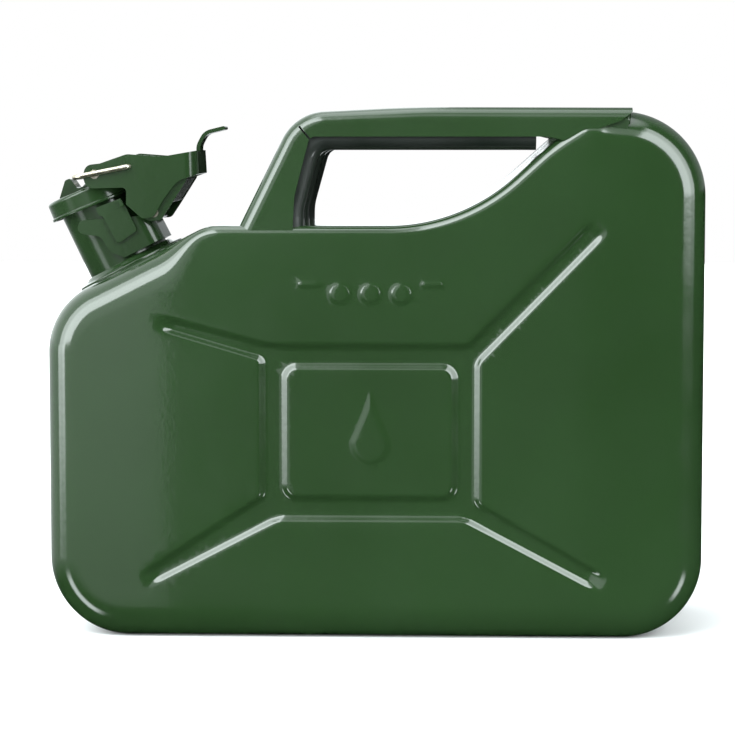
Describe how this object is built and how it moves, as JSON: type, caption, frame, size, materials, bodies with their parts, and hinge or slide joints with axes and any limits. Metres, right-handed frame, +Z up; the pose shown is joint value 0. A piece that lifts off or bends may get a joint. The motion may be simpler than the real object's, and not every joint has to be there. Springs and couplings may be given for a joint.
{
  "type": "jerry can",
  "caption": "Pressed steel fuel can with stamped faces, parallel carrying handles, a leaning filler neck and a hinged cam-lever cap with a wire safety loop.",
  "frame": {"origin": "on the ground under the middle of the can's footprint", "axes": "+X towards the tall rear end of the can, away from the spout; +Y towards the right face; +Z up"},
  "size_m": [0.3515, 0.13, 0.2792],
  "materials": {
    "body_paint": "gloss enamel",
    "handle_paint": "gloss enamel",
    "closure_paint": "gloss enamel",
    "weld_paint": "gloss enamel over weld",
    "inside_steel": "bare inner steel",
    "zinc": "passivated zinc",
    "seal": "moulded nitrile rubber"
  },
  "bodies": {
    "can": {"left_body_shell": "body_paint", "right_body_shell": "body_paint", "seam_weld": "weld_paint", "left_handle_channel": "handle_paint", "centre_handle_channel": "handle_paint", "right_handle_channel": "handle_paint", "left_handle_strip": "handle_paint", "centre_handle_strip": "handle_paint", "right_handle_strip": "handle_paint", "filler_neck": "closure_paint", "neck_collar": "closure_paint", "breather_pipe": "inside_steel", "hinge_bracket": "closure_paint", "left_locking_lug": "closure_paint", "right_locking_lug": "closure_paint", "hinge_pin": "zinc"},
    "closure": {"cap_pan": "closure_paint", "cap_gasket": "seal", "gasket_retainer": "inside_steel", "cap_bridge": "closure_paint", "bridge_rivets": "closure_paint", "pivot_pin": "zinc"},
    "lever": {"cam_lever": "closure_paint"},
    "bail": {"safety_bail": "zinc"}
  },
  "joints": [
    {"name": "closure_hinge", "type": "hinge", "parent": "can", "child": "closure", "pos_m": [-0.119, 0, 0.2235], "axis": [0, 1, 0], "range_deg": [0, 63]},
    {"name": "lever_pivot", "type": "hinge", "parent": "closure", "child": "lever", "pos_m": [-0.1503, 0, 0.2439], "axis": [0, -1, 0], "range_deg": [0, 140]},
    {"name": "bail_swing", "type": "hinge", "parent": "lever", "child": "bail", "pos_m": [-0.1319, 0, 0.2481], "axis": [0, 1, 0], "range_deg": [0, 91]}
  ],
  "couplings": [
    {"joint": "closure_hinge", "follows": "lever_pivot", "ratio": 0.45},
    {"joint": "bail_swing", "follows": "lever_pivot", "ratio": 0.65}
  ]
}
